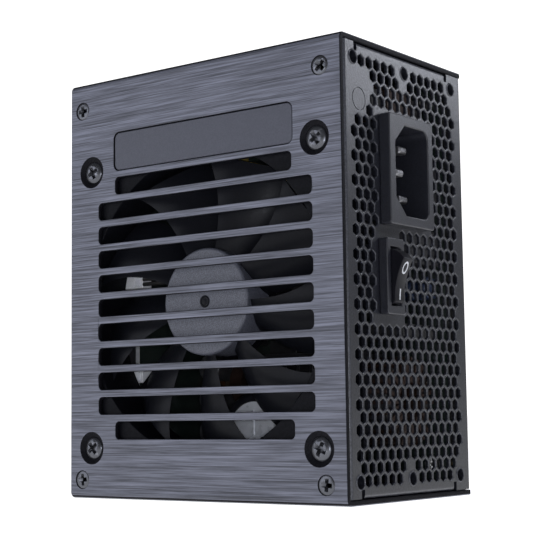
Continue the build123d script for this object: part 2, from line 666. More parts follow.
FAN_BORE = FAN_SIZE / 2 - DUCT_WALL_AT_SIDE
BLADE_TIP = FAN_BORE - BLADE_TIP_CLEARANCE
BLADE_Y0 = FAN_Y0 + BLADE_FRONT_RECESS
BLADE_Y1 = FAN_Y1 - BLADE_REAR_RECESS
HUB_FACE_Y = FAN_Y0 + HUB_FRONT_RECESS
HUB_REAR_Y = FAN_Y1 - HUB_REAR_RECESS
BEARING_RADIUS = SHAFT_RADIUS + BEARING_WALL
TUBE_RADIUS = BEARING_RADIUS + BEARING_TUBE_WALL
MOTOR_PLATE_Y0 = FAN_Y1 - MOTOR_PLATE_THICKNESS
STATOR_Y0 = HUB_FACE_Y + 3.4
STATOR_Y1 = STATOR_Y0 + 4.2
FAN_BOARD_Y0 = STATOR_Y1 + 0.9
FAN_BOARD_Y1 = FAN_BOARD_Y0 + 0.8


def make_fan_frame():
    """Square frame with a round duct, four slanted struts and the motor plate with its bearing tube."""
    half = FAN_SIZE / 2
    outline = Pos(FAN_X, FAN_Z) * RectangleRounded(FAN_SIZE, FAN_SIZE, FAN_CORNER)
    frame = plate_y(outline, FAN_Y0, FAN_Y0 + FAN_FLANGE) + plate_y(outline, FAN_Y1 - FAN_FLANGE, FAN_Y1)
    frame += rod_y(FAN_X, FAN_Z, FAN_BORE + FAN_WALL, FAN_Y0, FAN_Y1)
    frame &= block(FAN_X - half, FAN_X + half, FAN_Y0, FAN_Y1, FAN_Z - half, FAN_Z + half)
    for x, z in fan_screw_places():
        frame += rod_y(x, z, FAN_HOLE_RADIUS + 1.6, FAN_Y0, FAN_Y1)
    frame -= rod_y(FAN_X, FAN_Z, FAN_BORE, FAN_Y0 - 1, FAN_Y1 + 1)

    plate_radius = HUB_RADIUS + 0.4
    frame += rod_y(FAN_X, FAN_Z, plate_radius, MOTOR_PLATE_Y0, FAN_Y1)
    for index in range(STRUT_COUNT):
        strut = block(-STRUT_WIDTH / 2, STRUT_WIDTH / 2, MOTOR_PLATE_Y0, FAN_Y1, 8, FAN_BORE + 1)
        slant = Pos(plate_radius * 0.45, 0, 0)
        frame += Pos(FAN_X, 0, FAN_Z) * Rot(0, 45 + index * 360 / STRUT_COUNT, 0) * slant * strut
    frame += rod_y(FAN_X, FAN_Z, TUBE_RADIUS, STATOR_Y0 + 0.4, MOTOR_PLATE_Y0 + 0.1)
    cuts = [rod_y(FAN_X, FAN_Z, BEARING_RADIUS, STATOR_Y0 - 1, FAN_Y1 - 0.8)]
    for x, z in fan_screw_places():
        cuts.append(rod_y(x, z, FAN_HOLE_RADIUS, FAN_Y0 - 1, FAN_Y1 + 1))
    return frame - cuts


def blade_section(radius):
    """Cross-section of one blade, cut by a plane square to the radius."""
    share = (radius - HUB_RADIUS) / (BLADE_TIP - HUB_RADIUS)
    sweep = 11.0 * max(share, 0) ** 2
    span = 34.0 - 3.0 * share
    middle = math.radians(BLADE_START_ANGLE + sweep - span / 2)
    chord_round = 2 * radius * math.sin(math.radians(span) / 2)
    rise = BLADE_Y1 - BLADE_Y0
    chord = math.hypot(chord_round, rise)
    pitch = math.degrees(math.atan2(rise, chord_round))
    bulge = 0.07 * chord
    half = chord / 2
    thick = BLADE_THICKNESS / 2
    upper = ThreePointArc((-half, 0), (0, bulge + thick), (half, 0))
    lower = ThreePointArc((half, 0), (0, bulge - thick), (-half, 0))
    profile = make_face([upper, lower])
    outward = Vector(math.cos(middle), 0, math.sin(middle))
    around = Vector(-math.sin(middle), 0, math.cos(middle))
    reach = radius * math.cos(math.radians(span) / 2)
    origin = Vector(FAN_X, (BLADE_Y0 + BLADE_Y1) / 2, FAN_Z) + outward * reach
    return Plane(origin=origin, x_dir=around, z_dir=outward) * Rot(0, 0, pitch) * profile


def make_fan_rotor():
    """Hub cup with a central boss and nine swept, twisted blades."""
    hub = rod_y(FAN_X, FAN_Z, HUB_RADIUS, HUB_FACE_Y, HUB_REAR_Y)
    hub = fillet(hub.edges().filter_by(GeomType.CIRCLE).sort_by(Axis.Y)[:1], 0.8)
    hub -= rod_y(FAN_X, FAN_Z, HUB_RADIUS - HUB_WALL, HUB_FACE_Y + HUB_WALL, HUB_REAR_Y + 1)
    radii = [HUB_RADIUS - 0.4, 22.0, 29.0, 36.0, BLADE_TIP]
    blade = loft([blade_section(radius) for radius in radii])
    blade &= rod_y(FAN_X, FAN_Z, BLADE_TIP, BLADE_Y0 - 3, BLADE_Y1 + 3)
    blade -= rod_y(FAN_X, FAN_Z, HUB_RADIUS - HUB_WALL * 0.6, BLADE_Y0 - 5, BLADE_Y1 + 5)
    rotor = hub
    for index in range(BLADE_COUNT):
        turn = Pos(FAN_X, 0, FAN_Z) * Rot(0, index * 360 / BLADE_COUNT, 0) * Pos(-FAN_X, 0, -FAN_Z)
        rotor += turn * blade
    boss = rod_y(FAN_X, FAN_Z, HUB_BOSS_RADIUS, HUB_FACE_Y + HUB_WALL - 0.1, STATOR_Y0 - 0.6)
    return rotor + boss - rod_y(FAN_X, FAN_Z, SHAFT_RADIUS, HUB_FACE_Y + HUB_WALL, 0)


def make_magnet_ring():
    """Ring magnet bonded inside the hub cup."""
    outer = HUB_RADIUS - HUB_WALL
    return ring_y(FAN_X, FAN_Z, outer, outer - MAGNET_THICKNESS, HUB_FACE_Y + 2.4, HUB_REAR_Y - 0.4)


def make_stator():
    """Laminated core with four T-shaped poles round the bearing tube."""
    y0 = STATOR_Y0 + 0.6
    y1 = STATOR_Y1 - 0.2
    core = ring_y(FAN_X, FAN_Z, TUBE_RADIUS + 1.3, TUBE_RADIUS, y0, y1)
    shoe_ring = ring_y(FAN_X, FAN_Z, STATOR_RADIUS, STATOR_RADIUS - 1.2, y0, y1)
    for index in range(STATOR_TEETH):
        turn = Pos(FAN_X, 0, FAN_Z) * Rot(0, 45 + index * 360 / STATOR_TEETH, 0)
        core += turn * block(-1.1, 1.1, y0, y1, TUBE_RADIUS + 0.6, STATOR_RADIUS - 0.6)
        between = Rot(0, 180 / STATOR_TEETH, 0)
        shoe_ring -= turn * between * block(-1.5, 1.5, STATOR_Y0, STATOR_Y1, 8, STATOR_RADIUS + 1)
    return core + shoe_ring


def make_stator_coils():
    """One wound coil on each pole."""
    coils = []
    for index in range(STATOR_TEETH):
        turn = Pos(FAN_X, 0, FAN_Z) * Rot(0, 45 + index * 360 / STATOR_TEETH, 0)
        inner = TUBE_RADIUS + 1.5
        outer = STATOR_RADIUS - 1.9
        coil = block(-2.9, 2.9, STATOR_Y0 - 0.1, STATOR_Y1 + 0.5, inner, outer)
        coil = fillet(coil.edges().filter_by(Axis.Z), 0.6)
        coils.append(turn * (coil - block(-1.1, 1.1, STATOR_Y0 + 0.6, STATOR_Y1 - 0.2, inner - 1, outer + 1)))
    return group(coils)


def make_fan_shaft():
    """Steel shaft pressed into the hub boss and running in the sleeve bearing."""
    return rod_y(FAN_X, FAN_Z, SHAFT_RADIUS, HUB_FACE_Y + HUB_WALL, FAN_Y1 - 1.4)


def make_fan_bearing():
    """Sleeve bearing in the tube of the motor plate."""
    return ring_y(FAN_X, FAN_Z, BEARING_RADIUS, SHAFT_RADIUS + SHAFT_CLEARANCE, STATOR_Y0 + 0.6, FAN_Y1 - 1.2)


def make_fan_board():
    """Ring-shaped circuit board behind the stator."""
    return ring_y(FAN_X, FAN_Z, STATOR_RADIUS, TUBE_RADIUS + 0.1, FAN_BOARD_Y0, FAN_BOARD_Y1)


# ---- Leads -------------------------------------------------------------------------------------
LEAD_RUN_OUT = 5.5
EARTH_RUN_OUT = 6.0
MAINS_LEAD_RADIUS = 1.1
FAN_LEAD_RADIUS = 0.6
FAN_LEAD_GAP = 0.35
FAN_LEAD_SPREAD = 0.75


def turn_radius(before, corner, after):
    """Arc radius that takes 0.45 of the shorter run at this corner."""
    first = Vector(*corner) - Vector(*before)
    second = Vector(*after) - Vector(*corner)
    turn = math.radians(first.get_angle(second))
    return 0.45 * min(first.length, second.length) / math.tan(turn / 2)


def lead(points, radius):
    """Round insulated lead: straight runs joined by tangent arcs."""
    radii = [turn_radius(*points[index - 1:index + 2]) for index in range(1, len(points) - 1)]
    path = FilletPolyline(*points, radius=radii)
    print("lead radii", [round(value, 1) for value in radii], "length", round(path.length, 1))
    start = Plane(origin=path @ 0, z_dir=path % 0)
    return sweep(start * Circle(radius), path=path)


def make_mains_leads():
    """Line from inlet to switch, switched line to the board, and neutral to the board."""
    tail_x = X_INLET_BACK - PIN_TAIL
    terminal_x = X_SWITCH_BACK - TERMINAL_REACH
    turn_x = tail_x - LEAD_RUN_OUT
    neutral, _, line = pin_places()
    low, high = terminal_levels()
    to_switch = [
        (tail_x, line[0], line[1]),
        (turn_x, line[0], line[1]),
        (turn_x, SWITCH_Y, high),
        (terminal_x, SWITCH_Y, high),
    ]
    switched = [
        (terminal_x, SWITCH_Y, low),
        (terminal_x - LEAD_RUN_OUT, SWITCH_Y, low),
        (terminal_x - LEAD_RUN_OUT, BOARD_Y0, low),
    ]
    return_lead = [
        (tail_x, neutral[0], neutral[1]),
        (turn_x, neutral[0], neutral[1]),
        (turn_x, BOARD_Y0, neutral[1]),
    ]
    return group([lead(points, MAINS_LEAD_RADIUS) for points in (to_switch, switched, return_lead)])


def make_earth_lead():
    """Earth lead from the middle inlet pin to the board."""
    tail_x = X_INLET_BACK - PIN_TAIL
    y, z, _ = pin_places()[1]
    turn_x = tail_x - EARTH_RUN_OUT
    return lead([(tail_x, y, z), (turn_x, y, z), (turn_x, BOARD_Y0, z)], MAINS_LEAD_RADIUS)


def make_fan_lead():
    """Two thin leads from the motor plate of the fan to its header on the socket board."""
    leads = []
    y = FAN_Y1 + FAN_LEAD_RADIUS + FAN_LEAD_GAP
    for side in (-FAN_LEAD_SPREAD, FAN_LEAD_SPREAD):
        points = [
            (FAN_X - 8.0, y, FAN_Z + 3.0 + side),
            (FAN_X - 20.0, y, HEADER_LEVELS[0] + side),
            (X_SOCKET_BOARD_IN + HEADER_INNER_REACH, y, HEADER_LEVELS[0] + side),
        ]
        leads.append(lead(points, FAN_LEAD_RADIUS))
    return group(leads)


# ---- Main board and what stands on it ----------------------------------------------------------
STANDOFF_RADIUS = 2.6
STANDOFF_STEM = 1.8
STANDOFF_BORE = 1.3
BOARD_SCREW_HEAD = 2.4
BOARD_SCREW_SHANK = 1.25
STANDOFF_INSET_FRONT = 15.0
STANDOFF_INSET_REAR = 8.0
STANDOFF_INSET_Z = 9.0
MAIN_BOARD_GAP = 0.6
MAIN_BOARD_FRONT_INSET = MODULAR_BOARD_INSET + BOARD_THICKNESS + MAIN_BOARD_GAP
MAIN_BOARD_REAR_INSET = 3.5
CAPACITOR_X = 4.0
CAPACITOR_Z = 18.0
CAPACITOR_RADIUS = 12.5
CAPACITOR_HEIGHT = 36.5
CAPACITOR_SLEEVE = 0.3
TRANSFORMER_X = 7.0
TRANSFORMER_Z = 83.0
TRANSFORMER_WIDTH = 26.0
TRANSFORMER_LENGTH = 26.0
TRANSFORMER_HEIGHT = 35.0
STANDBY_X = -14.0
STANDBY_Z = 110.0
STANDBY_SIZE = 16.0
STANDBY_HEIGHT = 20.0
PFC_X = 37.0
PFC_Z = 27.0
PFC_OUTER = 12.0
PFC_INNER = 6.5
PFC_WIDTH = 10.0
PFC_TURNS = 26
PFC_WIRE = 0.8
LINE_CHOKE_X = 30.0
LINE_CHOKE_Z = 112.0
LINE_CHOKE_WIDTH = 22.0
LINE_CHOKE_DEPTH = 8.0
LINE_CHOKE_HEIGHT = 26.0
LINE_CHOKE_LEG = 6.0
LINE_CHOKE_LIFT = 2.5
COIL_BUILD = 1.3
COIL_BUILD_OUT = 2.3
COIL_CORNER = 1.6
COIL_CLEARANCE = 0.2
X_CAPACITOR_X = 38.0
X_CAPACITOR_WIDTH = 15.0
X_CAPACITORS = ((90.0, 12.0, 13.5), (71.5, 10.0, 15.5))
DISC_COUNT = 4
DISC_START_X = 29.0
DISC_PITCH = 5.0
DISC_Z = 60.0
DISC_CENTRE_HEIGHT = 5.0
DISC_RADIUS = 3.4
DISC_THICKNESS = 2.4
DISC_ROUNDING = 0.7
DISC_LEG = 0.6
DISC_LEG_SPREAD = 2.5
DISC_LEG_HEIGHT = 3.0
FUSE_X = 26.4
FUSE_Z = 80.0
FUSE_HEIGHT = 3.2
FUSE_RADIUS = 2.2
FUSE_LENGTH = 16.0
FUSE_CAP_RADIUS = 2.5
FUSE_CAP_LENGTH = 3.2
FUSE_LEG = 0.6
RELAY_X = 12.0
RELAY_Z = 58.0
RELAY_WIDTH = 20.0
RELAY_LENGTH = 12.0
RELAY_HEIGHT = 15.0
RELAY_CORNER = 0.8
BRIDGE_X = 36.0
BRIDGE_Z = 47.0
BRIDGE_WIDTH = 20.0
BRIDGE_THICKNESS = 3.8
BRIDGE_HEIGHT = 17.0
BRIDGE_LIFT = 5.0
BRIDGE_HOLE_RADIUS = 1.7
BRIDGE_HOLE_HEIGHT = 13.5
BRIDGE_LEGS = 4
BRIDGE_LEG_PITCH = 5.0
PACKAGE_WIDTH = 10.0
PACKAGE_THICKNESS = 4.4
PACKAGE_HEIGHT = 15.0
PACKAGE_LIFT = 6.0
PACKAGE_GAP = 0.1
PACKAGE_LEG_WIDTH = 0.8
PACKAGE_LEG_THICKNESS = 0.6
PACKAGE_LEG_PITCH = 2.5
PRIMARY_PACKAGES = (3.0, 17.0)
SECONDARY_PACKAGES = (54.0, 70.0, 86.0)
HEATSINK_SHEET = 3.0
PRIMARY_SINK_X = 11.0
PRIMARY_SINK_Z = 40.0
PRIMARY_SINK_LENGTH = 30.0
PRIMARY_SINK_HEIGHT = 31.0
PRIMARY_FINS = 7
SECONDARY_SINK_X = -20.0
SECONDARY_SINK_Z = 72.0
SECONDARY_SINK_LENGTH = 52.0
SECONDARY_SINK_HEIGHT = 33.0
SECONDARY_FINS = 10
FIN_THICKNESS = 1.2
FIN_REACH = 4.4
FIN_ROOT = 0.1
FIN_EDGE = 0.9
OUTPUT_CAN_RADIUS = 4.2
OUTPUT_CAN_HEIGHT = 15.0
OUTPUT_CAN_X = -31.0
OUTPUT_CAN_COUNT = 10
OUTPUT_CAN_PITCH = 10.0
OUTPUT_CAN_START = 19.0
EXTRA_CANS = [(-9.5, 52.0), (-9.5, 62.0)]
RING_CHOKE_X = -18.0
RING_CHOKES = (16.0, 34.0)
RING_CHOKE_OUTER = 7.8
RING_CHOKE_INNER = 3.2
RING_CHOKE_HEIGHT = 11.0
CONTROL_BOARD_X = 6.0
CONTROL_BOARD_Z = 100.5
CONTROL_BOARD_WIDTH = 18.0
CONTROL_BOARD_THICKNESS = 1.2
CONTROL_BOARD_HEIGHT = 29.0
HEADER_LEVELS = (65.0, 52.0, 36.0)
HEADER_TO_FAN = 0.25
HEADER_HEIGHT = 4.3
HEADER_LENGTH = 3.8
HEADER_OUTER_REACH = 5.0
HEADER_INNER_REACH = 3.7
HEADER_WALL = 0.6
HEADER_POCKET = 2.2
HEADER_GRIP_CLEARANCE = 0.05


def on_board(x, z, width, length, height, lift=0.0):
    """Box that stands on the component side of the main board."""
    return block(x - width / 2, x + width / 2, BOARD_Y0 - lift - height, BOARD_Y0 - lift,
                 z - length / 2, z + length / 2)


def can_on_board(x, z, radius, height):
    """Upright round can on the main board, with a softened end."""
    can = rod_y(x, z, radius, BOARD_Y0 - height, BOARD_Y0)
    return fillet(can.edges().filter_by(GeomType.CIRCLE).sort_by(Axis.Y)[:1], radius * 0.12)


def standoff_places():
    """X and Z of the four standoffs."""
    columns = (X_FRONT + STANDOFF_INSET_FRONT, X_REAR - STANDOFF_INSET_REAR)
    rows = (STANDOFF_INSET_Z, CASE_LENGTH - STANDOFF_INSET_Z)
    return [(x, z) for x in columns for z in rows]


def make_main_board():
    """Main circuit board with its four screw holes."""
    board = block(X_FRONT + MAIN_BOARD_FRONT_INSET, X_REAR - MAIN_BOARD_REAR_INSET, BOARD_Y0, BOARD_Y1,
                  Z_CHASSIS_LOW + BOARD_EDGE_GAP, Z_CHASSIS_HIGH - BOARD_EDGE_GAP)
    holes = [rod_y(x, z, BOARD_SCREW_SHANK + SCREW_CLEARANCE, BOARD_Y0 - 1, BOARD_Y1 + 1)
             for x, z in standoff_places()]
    return board - holes


def make_insulation_sheet():
    """Insulating film on the base plate, cleared round the standoffs."""
    y1 = Y_BASE_IN - 0.05
    sheet = block(X_FRONT + MAIN_BOARD_FRONT_INSET, X_REAR - MAIN_BOARD_REAR_INSET, y1 - SHEET_THICKNESS, y1,
                  Z_CHASSIS_LOW + CHASSIS_SHEET + 0.5, Z_CHASSIS_HIGH - CHASSIS_SHEET - 0.5)
    holes = [rod_y(x, z, STANDOFF_RADIUS + 0.3, y1 - 5, y1 + 1) for x, z in standoff_places()]
    return sheet - holes


def make_standoff(x, z):
    """Threaded post riveted into the base plate."""
    post = rod_y(x, z, STANDOFF_RADIUS, BOARD_Y1, Y_BASE_IN)
    post += rod_y(x, z, STANDOFF_STEM, Y_BASE_IN - 0.1, Y_BASE)
    return post - rod_y(x, z, STANDOFF_BORE, BOARD_Y1 - 1, Y_BASE - 0.6)


def make_board_screw(x, z):
    """Pan-head screw from the board into a standoff."""
    head = rod_y(x, z, BOARD_SCREW_HEAD, BOARD_Y0 - 1.6, BOARD_Y0)
    shank = rod_y(x, z, BOARD_SCREW_SHANK, BOARD_Y0 - 0.5, Y_BASE_IN - 0.8)
    return head + shank - cross_recess(x, z, BOARD_Y0 - 1.6, BOARD_SCREW_HEAD * 0.55, 0.9)


def make_capacitor_can():
    """Aluminium can of the bulk capacitor with three scored vent lines in its end."""
    radius = CAPACITOR_RADIUS - CAPACITOR_SLEEVE
    can = can_on_board(CAPACITOR_X, CAPACITOR_Z, radius, CAPACITOR_HEIGHT)
    end_y = BOARD_Y0 - CAPACITOR_HEIGHT
    score = block(-radius * 0.6, 0.4, end_y - 1, end_y + 0.4, -0.4, 0.4)
    turns = [Pos(CAPACITOR_X, 0, CAPACITOR_Z) * Rot(0, 90 + index * 120, 0) for index in range(3)]
    return can - [turn * score for turn in turns]


def make_capacitor_sleeve():
    """Shrink sleeve round the bulk capacitor, turned over the edge of its end."""
    end_y = BOARD_Y0 - CAPACITOR_HEIGHT
    sleeve = rod_y(CAPACITOR_X, CAPACITOR_Z, CAPACITOR_RADIUS, end_y - CAPACITOR_SLEEVE, BOARD_Y0 - 1)
    sleeve = fillet(sleeve.edges().filter_by(GeomType.CIRCLE).sort_by(Axis.Y)[:1], CAPACITOR_RADIUS * 0.12)
    radius = CAPACITOR_RADIUS - CAPACITOR_SLEEVE
    hollow = rod_y(CAPACITOR_X, CAPACITOR_Z, radius, end_y, BOARD_Y0)
    hollow = fillet(hollow.edges().filter_by(GeomType.CIRCLE).sort_by(Axis.Y)[:1], radius * 0.12)
    return sleeve - hollow - rod_y(CAPACITOR_X, CAPACITOR_Z, radius * 0.8, end_y - 2, BOARD_Y0)


def make_transformer(x, z, width, length, height):
    """Ferrite core with a window on two sides, and the taped winding inside it."""
    wall = width * 0.16
    core = on_board(x, z, width, length * 0.62, height - 2, 2)
    window = on_board(x, z, width - 2 * wall, length, height - 2 - 2 * wall, 2 + wall)
    winding = on_board(x, z, width - 2 * wall - 0.6, length, height - 2 - 2 * wall - 0.6, 2 + wall + 0.3)
    winding = fillet(winding.edges().filter_by(Axis.Y), width * 0.1)
    feet = [on_board(x + sx * width * 0.3, z + sz * length * 0.42, 1.2, 1.2, 2 + wall + 0.4)
            for sx in (-1, 1) for sz in (-1, 1)]
    for foot in feet:
        winding += foot
    return core - window, winding


def make_toroid_core(x, y, z, outer, inner, width):
    """Ring core that stands on edge, axis along X."""
    return rod_x(y, z, outer, x - width / 2, x + width / 2) - rod_x(y, z, inner, x - width, x + width)


def make_toroid_winding(x, y, z, outer, inner, width, turns, wire):
    """Closed rectangular loops of wire set round a ring core."""
    loops = []
    reach = outer - inner + 2 * wire + 0.3
    for index in range(turns):
        angle = 360 * index / turns
        loop = Box(width + 2 * wire + 0.3, reach, wire * 1.6) - Box(width + 0.3, reach - 2 * wire, wire * 4)
        middle = (outer + inner) / 2
        loops.append(Pos(x, y, z) * Rot(angle, 0, 0) * Pos(0, middle, 0) * loop)
    return group(loops)


def make_pfc_choke():
    """Ring core on edge and its copper winding, resting on the board."""
    y = BOARD_Y0 - PFC_OUTER - 2 * PFC_WIRE - 0.5
    core = make_toroid_core(PFC_X, y, PFC_Z, PFC_OUTER, PFC_INNER, PFC_WIDTH)
    winding = make_toroid_winding(PFC_X, y, PFC_Z, PFC_OUTER, PFC_INNER, PFC_WIDTH, PFC_TURNS, PFC_WIRE)
    return core, winding


def make_line_choke():
    """Rectangular ferrite frame with one coil on each upright leg."""
    x, z, lift, leg_size = LINE_CHOKE_X, LINE_CHOKE_Z, LINE_CHOKE_LIFT, LINE_CHOKE_LEG
    window_width = LINE_CHOKE_WIDTH - 2 * leg_size
    window_height = LINE_CHOKE_HEIGHT - 2 * leg_size
    core = on_board(x, z, LINE_CHOKE_WIDTH, LINE_CHOKE_DEPTH, LINE_CHOKE_HEIGHT, lift)
    core -= on_board(x, z, window_width, LINE_CHOKE_DEPTH + 2, window_height, lift + leg_size)
    coils = []
    for side in (-1, 1):
        leg_x = x + side * (LINE_CHOKE_WIDTH - leg_size) / 2
        leg = on_board(leg_x, z, leg_size + COIL_CLEARANCE, LINE_CHOKE_DEPTH + COIL_CLEARANCE,
                       LINE_CHOKE_HEIGHT + 2 * lift)
        coil = on_board(leg_x, z, leg_size + 2 * COIL_BUILD, LINE_CHOKE_DEPTH + 2 * COIL_BUILD_OUT,
                        window_height - 3 * COIL_CLEARANCE, lift + leg_size + 1.5 * COIL_CLEARANCE)
        coil = fillet(coil.edges().filter_by(Axis.Y), COIL_CORNER)
        coils.append(coil - leg)
    return core, group(coils)


def make_x_capacitors():
    """Two box capacitors beside the inlet."""
    return group([on_board(X_CAPACITOR_X, z, X_CAPACITOR_WIDTH, length, height)
                  for z, length, height in X_CAPACITORS])


def make_y_capacitors():
    """Row of four disc capacitors on their legs."""
    discs = []
    half_leg = DISC_LEG / 2
    for index in range(DISC_COUNT):
        x = DISC_START_X + DISC_PITCH * index
        disc = rod_x(BOARD_Y0 - DISC_CENTRE_HEIGHT, DISC_Z, DISC_RADIUS,
                     x - DISC_THICKNESS / 2, x + DISC_THICKNESS / 2)
        disc = fillet(disc.edges().filter_by(GeomType.CIRCLE), DISC_ROUNDING)
        for side in (-1, 1):
            z = DISC_Z + side * DISC_LEG_SPREAD
            disc += block(x - half_leg, x + half_leg, BOARD_Y0 - DISC_LEG_HEIGHT, BOARD_Y0,
                          z - half_leg, z + half_leg)
        discs.append(disc)
    return group(discs)


def make_fuse():
    """Cartridge fuse lying along the case, with two end caps."""
    y = BOARD_Y0 - FUSE_HEIGHT
    fuse = Pos(FUSE_X, y, FUSE_Z) * Cylinder(FUSE_RADIUS, FUSE_LENGTH)
    for side in (-1, 1):
        z = FUSE_Z + side * (FUSE_LENGTH - FUSE_CAP_LENGTH) / 2
        fuse += Pos(FUSE_X, y, z) * Cylinder(FUSE_CAP_RADIUS, FUSE_CAP_LENGTH)
        fuse += block(FUSE_X - FUSE_LEG / 2, FUSE_X + FUSE_LEG / 2, y + 1, BOARD_Y0, z - FUSE_LEG, z + FUSE_LEG)
    return fuse


def make_relay():
    """Sealed relay box."""
    relay = on_board(RELAY_X, RELAY_Z, RELAY_WIDTH, RELAY_LENGTH, RELAY_HEIGHT)
    return fillet(relay.edges().filter_by(Axis.Y), RELAY_CORNER)


def make_bridge_rectifier():
    """Flat upright bridge rectifier with four legs and a mounting hole."""
    hole_y = BOARD_Y0 - BRIDGE_LIFT - BRIDGE_HOLE_HEIGHT
    body = on_board(BRIDGE_X, BRIDGE_Z, BRIDGE_WIDTH, BRIDGE_THICKNESS, BRIDGE_HEIGHT, BRIDGE_LIFT)
    body -= Pos(BRIDGE_X, hole_y, BRIDGE_Z) * Cylinder(BRIDGE_HOLE_RADIUS, 2 * BRIDGE_THICKNESS)
    for index in range(BRIDGE_LEGS):
        x = BRIDGE_X + (index - (BRIDGE_LEGS - 1) / 2) * BRIDGE_LEG_PITCH
        body += on_board(x, BRIDGE_Z, PACKAGE_LEG_WIDTH * 1.5, PACKAGE_LEG_THICKNESS, BRIDGE_LIFT + 0.2)
    return body


def make_primary_heatsink():
    """Finned aluminium plate across the board."""
    x0 = PRIMARY_SINK_X - PRIMARY_SINK_LENGTH / 2
    sink = on_board(PRIMARY_SINK_X, PRIMARY_SINK_Z, PRIMARY_SINK_LENGTH, HEATSINK_SHEET, PRIMARY_SINK_HEIGHT)
    fin_z = PRIMARY_SINK_Z - HEATSINK_SHEET / 2 - FIN_REACH / 2 + FIN_ROOT
    for index in range(PRIMARY_FINS):
        x = x0 + FIN_EDGE + index * (PRIMARY_SINK_LENGTH - 2 * FIN_EDGE) / (PRIMARY_FINS - 1)
        sink += on_board(x, fin_z, FIN_THICKNESS, FIN_REACH, PRIMARY_SINK_HEIGHT)
    return sink


def make_secondary_heatsink():
    """Finned aluminium plate along the board."""
    z0 = SECONDARY_SINK_Z - SECONDARY_SINK_LENGTH / 2
    sink = on_board(SECONDARY_SINK_X, SECONDARY_SINK_Z, HEATSINK_SHEET, SECONDARY_SINK_LENGTH,
                    SECONDARY_SINK_HEIGHT)
    fin_x = SECONDARY_SINK_X - HEATSINK_SHEET / 2 - FIN_REACH / 2 + FIN_ROOT
    for index in range(SECONDARY_FINS):
        z = z0 + FIN_EDGE + index * (SECONDARY_SINK_LENGTH - 2 * FIN_EDGE) / (SECONDARY_FINS - 1)
        sink += on_board(fin_x, z, FIN_REACH, FIN_THICKNESS, SECONDARY_SINK_HEIGHT)
    return sink


def make_power_transistors():
    """Flat transistor packages against both heatsinks."""
    packages = []
    away = HEATSINK_SHEET / 2 + PACKAGE_THICKNESS / 2 + PACKAGE_GAP
    spread = (-PACKAGE_LEG_PITCH, 0, PACKAGE_LEG_PITCH)
    height, lift, leg = PACKAGE_HEIGHT, PACKAGE_LIFT, PACKAGE_LIFT + 0.2
    for x in PRIMARY_PACKAGES:
        z = PRIMARY_SINK_Z + away
        body = on_board(x, z, PACKAGE_WIDTH, PACKAGE_THICKNESS, height, lift)
        packages.append(body + [on_board(x + shift, z, PACKAGE_LEG_WIDTH, PACKAGE_LEG_THICKNESS, leg)
                                for shift in spread])
    for z in SECONDARY_PACKAGES:
        x = SECONDARY_SINK_X + away
        body = on_board(x, z, PACKAGE_THICKNESS, PACKAGE_WIDTH, height, lift)
        packages.append(body + [on_board(x, z + shift, PACKAGE_LEG_THICKNESS, PACKAGE_LEG_WIDTH, leg)
                                for shift in spread])
    return group(packages)


def make_output_capacitors():
    """Long row of output capacitors beside the socket board, and two more by the transformer."""
    places = [(OUTPUT_CAN_X, OUTPUT_CAN_START + index * OUTPUT_CAN_PITCH) for index in range(OUTPUT_CAN_COUNT)]
    places += EXTRA_CANS
    return group([can_on_board(x, z, OUTPUT_CAN_RADIUS, OUTPUT_CAN_HEIGHT) for x, z in places])


def make_output_chokes():
    """Two flat wound ring chokes."""
    return group([ring_y(RING_CHOKE_X, z, RING_CHOKE_OUTER, RING_CHOKE_INNER,
                         BOARD_Y0 - RING_CHOKE_HEIGHT, BOARD_Y0) for z in RING_CHOKES])


def make_control_board():
    """Small upright circuit board."""
    return on_board(CONTROL_BOARD_X, CONTROL_BOARD_Z, CONTROL_BOARD_WIDTH, CONTROL_BOARD_THICKNESS,
                    CONTROL_BOARD_HEIGHT)


# ---- Socket board ------------------------------------------------------------------------------
X_SOCKET_BOARD_IN = MODULAR_BOARD_X + BOARD_THICKNESS
X_SOCKET_FACE = X_FRONT - SOCKET_PROUD


def make_modular_board():
    """Upright circuit board behind the socket panel."""
    return block(MODULAR_BOARD_X, X_SOCKET_BOARD_IN, FAN_Y1 + MODULAR_BOARD_TO_FAN, BOARD_Y1,
                 Z_CHASSIS_LOW + BOARD_EDGE_GAP, Z_CHASSIS_HIGH - BOARD_EDGE_GAP)


def make_link_bars():
    """Three copper straps from the main board to the socket board."""
    x0 = X_SOCKET_BOARD_IN
    return group([block(x0, x0 + 3.6, BOARD_Y0 - 4.5, BOARD_Y0, z - 3, z + 3) for z in (34, 64, 94)])


def make_board_headers():
    """Three small white nylon wire headers that sit astride the edge of the socket board."""
    headers = []
    y0 = FAN_Y1 + HEADER_TO_FAN
    x0 = MODULAR_BOARD_X - HEADER_OUTER_REACH + BOARD_THICKNESS
    x1 = X_SOCKET_BOARD_IN + HEADER_INNER_REACH
    half_length = HEADER_LENGTH / 2
    half_pocket = half_length - HEADER_WALL
    for z in HEADER_LEVELS:
        shell = block(x0, x1, y0, y0 + HEADER_HEIGHT, z - half_length, z + half_length)
        grip = block(MODULAR_BOARD_X - HEADER_GRIP_CLEARANCE, X_SOCKET_BOARD_IN + HEADER_GRIP_CLEARANCE,
                     FAN_Y1 + MODULAR_BOARD_TO_FAN - HEADER_GRIP_CLEARANCE, y0 + HEADER_HEIGHT + 1,
                     z - half_length - 1, z + half_length + 1)
        pocket = block(X_SOCKET_BOARD_IN + HEADER_WALL, x1 - HEADER_WALL, y0 - 1, y0 + HEADER_POCKET,
                       z - half_pocket, z + half_pocket)
        headers.append(shell - grip - pocket)
    return group(headers)


def socket_cells(columns, y, z):
    """Centres of the cells of a two-row socket."""
    return [(y + row * SOCKET_PITCH / 2, z + (column - (columns - 1) / 2) * SOCKET_PITCH)
            for row in (-1, 1) for column in range(columns)]


